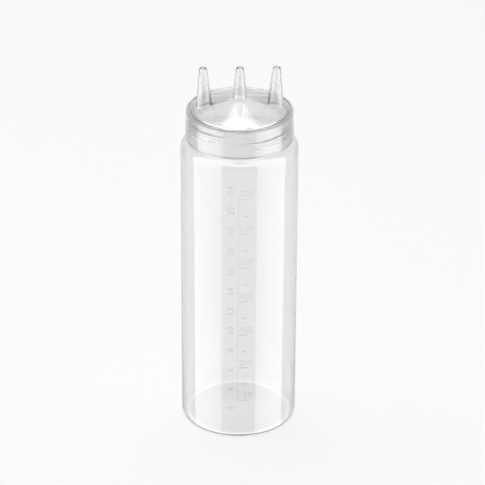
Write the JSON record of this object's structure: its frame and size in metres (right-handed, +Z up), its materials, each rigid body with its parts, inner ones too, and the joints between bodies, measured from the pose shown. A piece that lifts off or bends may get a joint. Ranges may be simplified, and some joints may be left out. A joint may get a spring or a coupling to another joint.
{
  "type": "squeeze bottle",
  "caption": "Clear squeeze bottle for sauces, with a wide screw cap whose domed top carries tapered spouts in a row, joined by a rib.",
  "frame": {"origin": "middle of the base, on the plane that the bottle stands on", "axes": "+Z up along the bottle, -Y out of the measuring scale on its front, +X to the right as one reads the scale"},
  "size_m": [0.0746, 0.0748, 0.2463],
  "materials": {
    "bottle_plastic": "clear, faintly milky",
    "seal_plastic": "milky satin",
    "cap_plastic": "clear, faintly milky"
  },
  "bodies": {
    "bottle": {"bottle": "bottle_plastic"},
    "seal_ring": {"seal_ring": "seal_plastic"},
    "cap": {"cap": "cap_plastic"}
  },
  "joints": [
    {"name": "cap_lift", "type": "slide", "parent": "bottle", "child": "seal_ring", "axis": [0, 0, 1], "range_m": [0, 0.00461]},
    {"name": "cap_turn", "type": "hinge", "parent": "seal_ring", "child": "cap", "pos_m": [0, 0, 0], "axis": [0, 0, 1], "range_deg": [0, 392]}
  ],
  "couplings": [
    {"joint": "cap_turn", "follows": "cap_lift", "rad_per_m": 1484.3}
  ]
}
